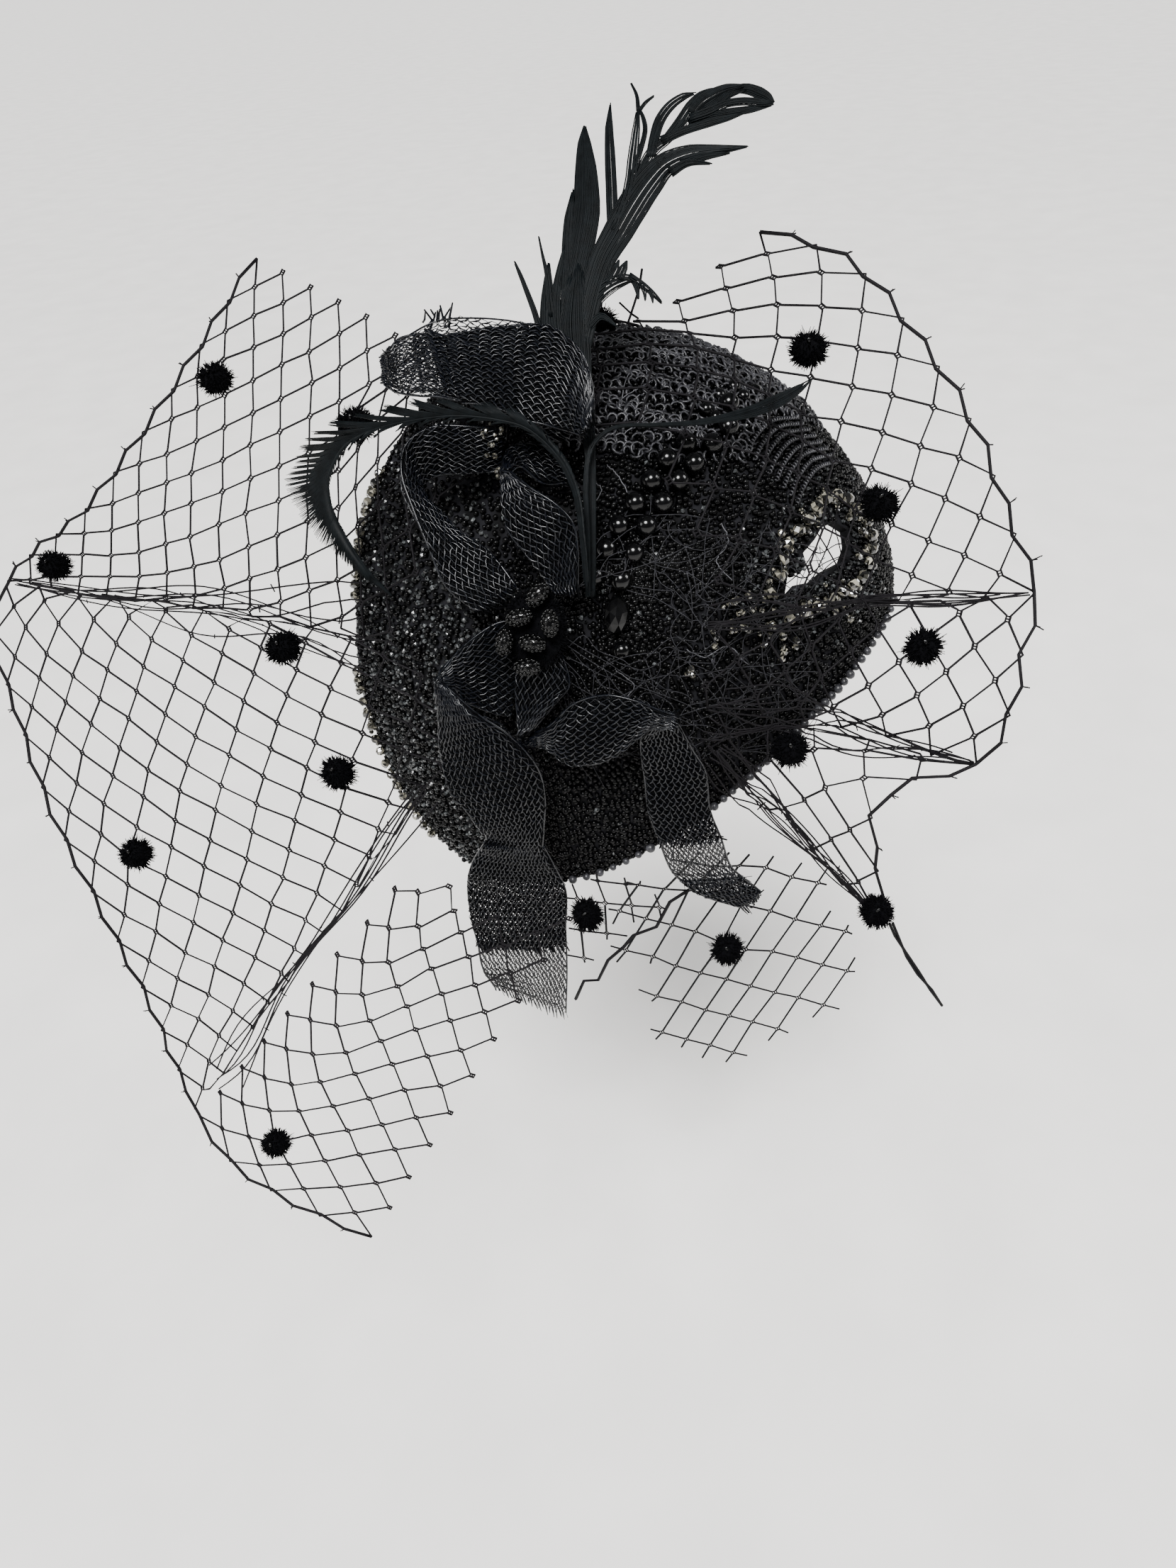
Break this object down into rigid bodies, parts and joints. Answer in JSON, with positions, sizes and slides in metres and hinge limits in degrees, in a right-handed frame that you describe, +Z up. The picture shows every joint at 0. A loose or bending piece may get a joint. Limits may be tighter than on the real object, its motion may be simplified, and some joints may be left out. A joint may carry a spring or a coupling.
{
  "type": "fascinator",
  "caption": "Beaded half-cap fascinator with a net veil dotted with chenille, open braid loops and tails, feathers and a flower of beaded berries.",
  "frame": {"origin": "inside of the crown, where the cap rests on the top of the wearer's head", "axes": "+Z up, -Y towards the wearer's front, +X towards the wearer's left"},
  "size_m": [0.1968, 0.3299, 0.3546],
  "materials": {
    "beaded_cloth": "satin",
    "braid": "satin",
    "feather": "satin",
    "net": "matte",
    "chenille": "matte",
    "jet": "gloss",
    "crystal": "gloss",
    "comb": "matte"
  },
  "bodies": {
    "root": {"berry_1": "jet", "berry_2": "jet", "berry_3": "jet", "berry_4": "jet", "berry_5": "jet", "berry_6": "jet", "bottom_petal": "braid", "cap": "beaded_cloth", "centre_band": "braid", "crystals_bottom": "crystal", "crystals_left": "crystal", "crystals_right": "crystal", "crystals_top": "crystal", "dot_01": "chenille", "dot_02": "chenille", "dot_03": "chenille", "dot_04": "chenille", "dot_05": "chenille", "dot_06": "chenille", "dot_07": "chenille", "dot_08": "chenille", "dot_09": "chenille", "dot_10": "chenille", "dot_11": "chenille", "dot_12": "chenille", "dot_13": "chenille", "dot_14": "chenille", "dot_15": "chenille", "feather_spray": "feather", "flower_mound": "chenille", "hair_comb": "comb", "left_feather": "feather", "left_petal": "braid", "left_ribbon": "braid", "net_cheek": "net", "net_left": "net", "net_right": "net", "oval_bead": "jet", "right_feather": "feather", "right_ribbon": "braid", "rim_beads_back": "crystal", "rim_beads_low": "crystal", "round_bead_01": "jet", "round_bead_02": "jet", "round_bead_03": "jet", "round_bead_04": "jet", "round_bead_05": "jet", "round_bead_06": "jet", "round_bead_07": "jet", "round_bead_08": "jet", "round_bead_09": "jet", "round_bead_10": "jet", "round_bead_11": "jet", "round_bead_12": "jet", "round_bead_13": "jet", "round_bead_14": "jet", "round_bead_15": "jet", "round_bead_16": "jet", "top_loop": "braid"}
  },
  "joints": []
}
